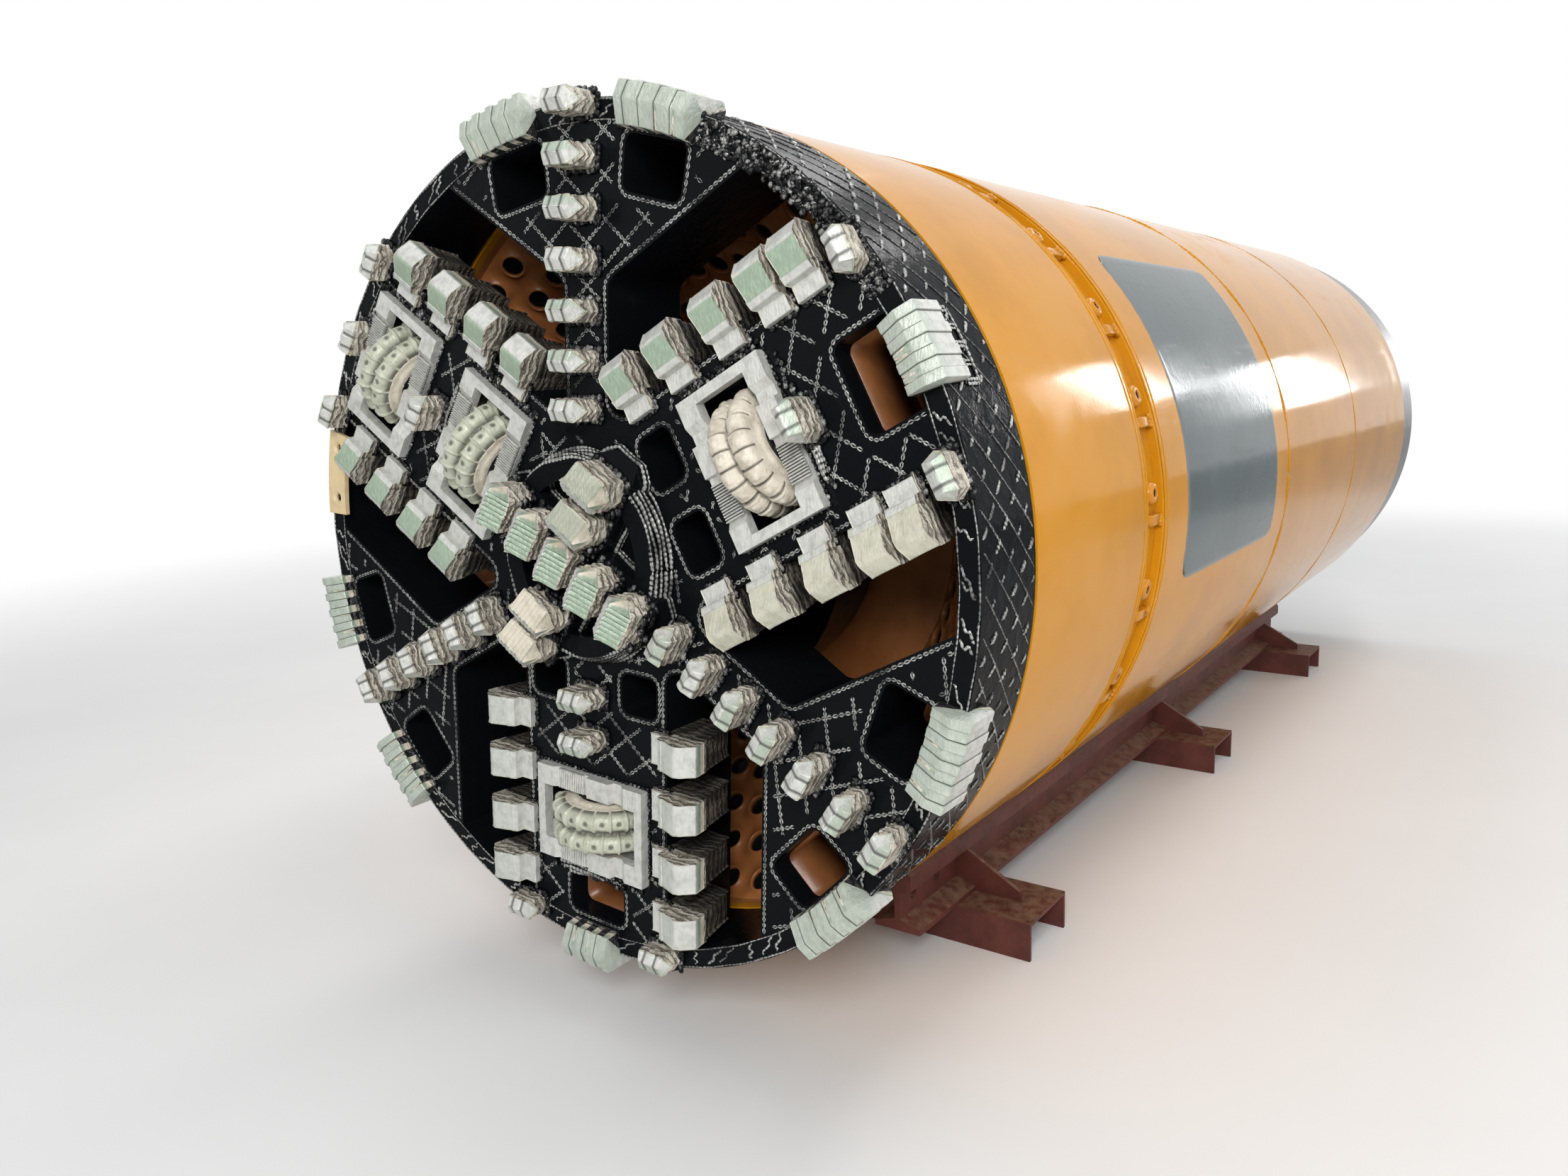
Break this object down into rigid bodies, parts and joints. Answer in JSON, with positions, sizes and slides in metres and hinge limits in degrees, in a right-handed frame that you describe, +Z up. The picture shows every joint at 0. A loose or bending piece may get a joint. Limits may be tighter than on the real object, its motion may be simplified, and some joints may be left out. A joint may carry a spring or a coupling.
{
  "type": "tunnel boring machine",
  "caption": "Pipe jacking tunnel boring machine: steerable shields, turning cutterhead with picks, scrapers and twin disc cutters, standing on its rail cradle.",
  "frame": {"origin": "on the floor, under the middle of the whole length, on the machine's middle plane", "axes": "+X forward to the cutterhead, +Y to the machine's left, +Z up"},
  "size_m": [4.471, 1.6602, 1.823],
  "materials": {
    "shield": "gloss ochre paint, dusty and scuffed",
    "inner_paint": "ochre paint in the joint",
    "black_paint": "gloss black paint over weld beads",
    "bit_silver": "silver paint over weld beads",
    "chamber": "rust brown primer",
    "bare_steel": "bare turned steel",
    "cradle": "worn red-brown paint, rubbed rail head",
    "cream": "cream paint",
    "drive": "blue machine paint",
    "pipe": "grey paint",
    "deck": "dark grey paint",
    "cabinet": "pale grey powder coat"
  },
  "bodies": {
    "machine": {"inner_ring": "inner_paint", "joint_bosses": "inner_paint", "joint_lugs": "inner_paint", "middle_shield": "shield", "rear_shield": "shield", "tail_shield": "shield", "tail_ring": "bare_steel", "rear_partition": "cream", "walkway": "deck", "feed_pipe": "pipe", "discharge_pipe": "pipe", "hydraulic_unit": "drive", "electric_box": "cabinet", "rail_left": "cradle", "rail_right": "cradle", "sleeper_front": "cradle", "sleeper_middle": "cradle", "sleeper_rear": "cradle"},
    "front_can": {"front_shield": "shield", "chamber_cone": "chamber", "front_bulkhead": "chamber", "main_drive": "drive"},
    "cutterhead": {"head_face": "black_paint", "head_rim": "black_paint", "pick_arm_a": "black_paint", "pick_arm_b": "black_paint", "pick_arm_c": "black_paint", "disc_arm_a": "black_paint", "disc_arm_b": "black_paint", "disc_arm_c": "black_paint", "head_hub": "black_paint", "crusher": "black_paint", "picks_a": "bit_silver", "picks_b": "bit_silver", "picks_c": "bit_silver", "scrapers_a": "bit_silver", "scrapers_b": "bit_silver", "scrapers_c": "bit_silver", "arm_picks": "bit_silver", "edge_picks": "bit_silver", "gauge_scrapers": "bit_silver", "centre_rippers": "bit_silver", "wear_segment": "cream", "disc_frame_a": "bit_silver", "disc_frame_b": "bit_silver", "disc_frame_c": "bit_silver", "disc_frame_d": "bit_silver"},
    "disc_a": {"disc_cutter_a": "bit_silver"},
    "disc_b": {"disc_cutter_b": "bit_silver"},
    "disc_c": {"disc_cutter_c": "bit_silver"},
    "disc_d": {"disc_cutter_d": "bit_silver"}
  },
  "joints": [
    {"name": "steer_pitch", "type": "hinge", "parent": "machine", "child": "front_can", "pos_m": [1.305, 0, 0.98099], "axis": [0, -1, 0], "range_deg": [0, 2]},
    {"name": "head_spin", "type": "hinge", "parent": "front_can", "child": "cutterhead", "pos_m": [1.9055, 0, 0.98099], "axis": [1, 0, 0], "continuous": true},
    {"name": "disc_a_spin", "type": "hinge", "parent": "cutterhead", "child": "disc_a", "pos_m": [2.0755, 0.40058, 1.18159], "axis": [0, 0.8942, 0.4478], "continuous": true},
    {"name": "disc_b_spin", "type": "hinge", "parent": "cutterhead", "child": "disc_b", "pos_m": [2.0755, -0.28802, 1.17091], "axis": [0, -0.8348, 0.5505], "continuous": true},
    {"name": "disc_c_spin", "type": "hinge", "parent": "cutterhead", "child": "disc_c", "pos_m": [2.0755, -0.53597, 1.3344], "axis": [0, -0.8348, 0.5505], "continuous": true},
    {"name": "disc_d_spin", "type": "hinge", "parent": "cutterhead", "child": "disc_d", "pos_m": [2.0755, -0.03214, 0.43995], "axis": [0, -0.0593, -0.9982], "continuous": true}
  ]
}
